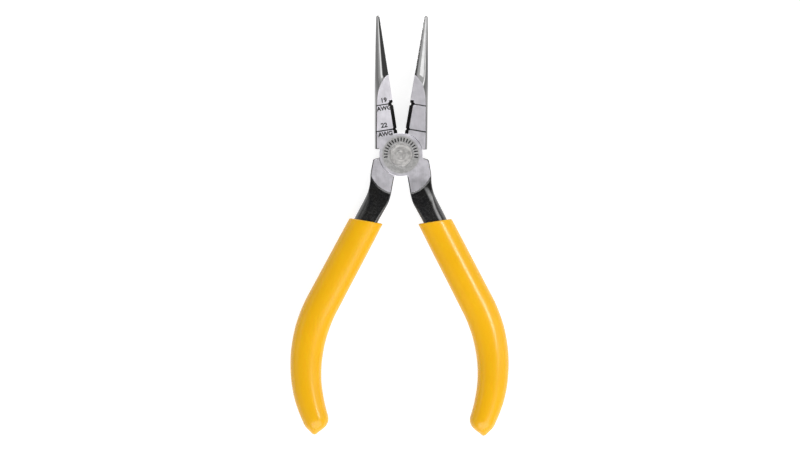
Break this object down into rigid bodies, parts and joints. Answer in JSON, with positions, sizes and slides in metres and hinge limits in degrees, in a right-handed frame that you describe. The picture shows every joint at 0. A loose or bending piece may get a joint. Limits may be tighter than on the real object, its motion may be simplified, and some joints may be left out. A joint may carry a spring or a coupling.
{
  "type": "needle nose pliers",
  "caption": "Long-nose pliers with a lap joint, side cutters, wire-stripping notches and dipped yellow grips, half open.",
  "frame": {"origin": "on the pivot axis, at the back face of the joint", "axes": "+Y towards the jaw tips along the line that halves the opening, +Z out of the front face along the pivot, +X to the right when looking at the front face"},
  "size_m": [0.0774, 0.1481, 0.009],
  "materials": {
    "forged_steel": "ground faces, black oxide on the tangs",
    "rivet_steel": "turned",
    "grip_vinyl": "glossy dipped vinyl"
  },
  "bodies": {
    "front": {"front_half": "forged_steel", "pivot_rivet": "rivet_steel", "right_grip": "grip_vinyl"},
    "rear": {"rear_half": "forged_steel", "left_grip": "grip_vinyl"}
  },
  "joints": [
    {"name": "pivot", "type": "hinge", "parent": "front", "child": "rear", "pos_m": [0, 0, 0.0045], "axis": [0, 0, -1], "range_deg": [-18.3, 20.8]}
  ]
}
